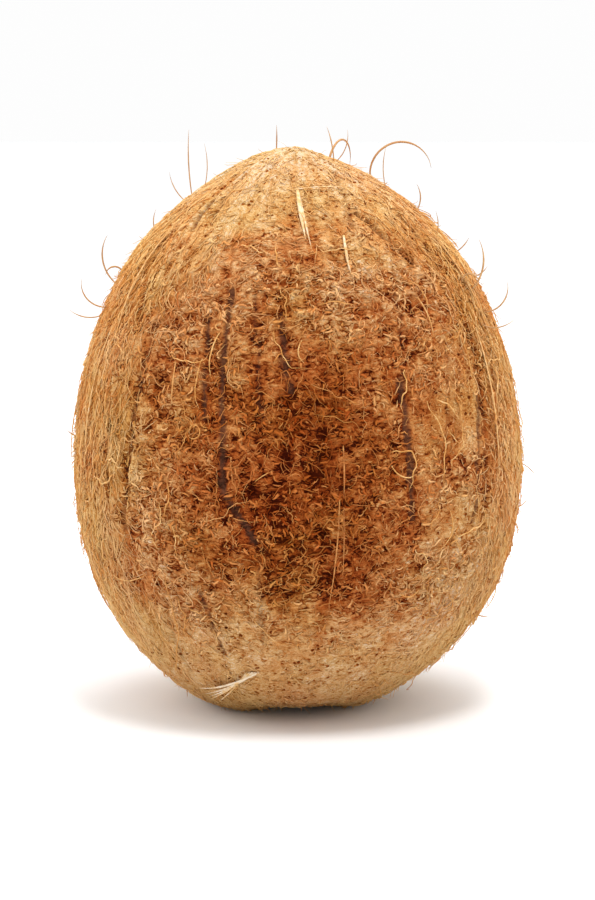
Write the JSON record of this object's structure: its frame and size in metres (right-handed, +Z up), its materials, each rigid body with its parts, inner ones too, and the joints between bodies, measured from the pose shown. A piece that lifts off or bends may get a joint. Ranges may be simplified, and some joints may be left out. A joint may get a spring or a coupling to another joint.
{
  "type": "coconut",
  "caption": "Husked brown coconut: an egg-shaped nut with a blunt tip, soft lengthwise ridges and a coat of matted coir fibre, standing on its worn flat end.",
  "frame": {"origin": "middle of the nut's bounding footprint, at the height of the surface it stands on", "axes": "+Z up from the worn blunt end to the tip; -Y is the front, with the felted face; +X is to the right of someone looking at the front"},
  "size_m": [0.1094, 0.11, 0.137],
  "materials": {
    "coir_husk": "dry matted brown coir fibre, fully matt, paler and combed lengthwise on the flanks"
  },
  "bodies": {
    "root": {"coconut": "coir_husk"}
  },
  "joints": []
}
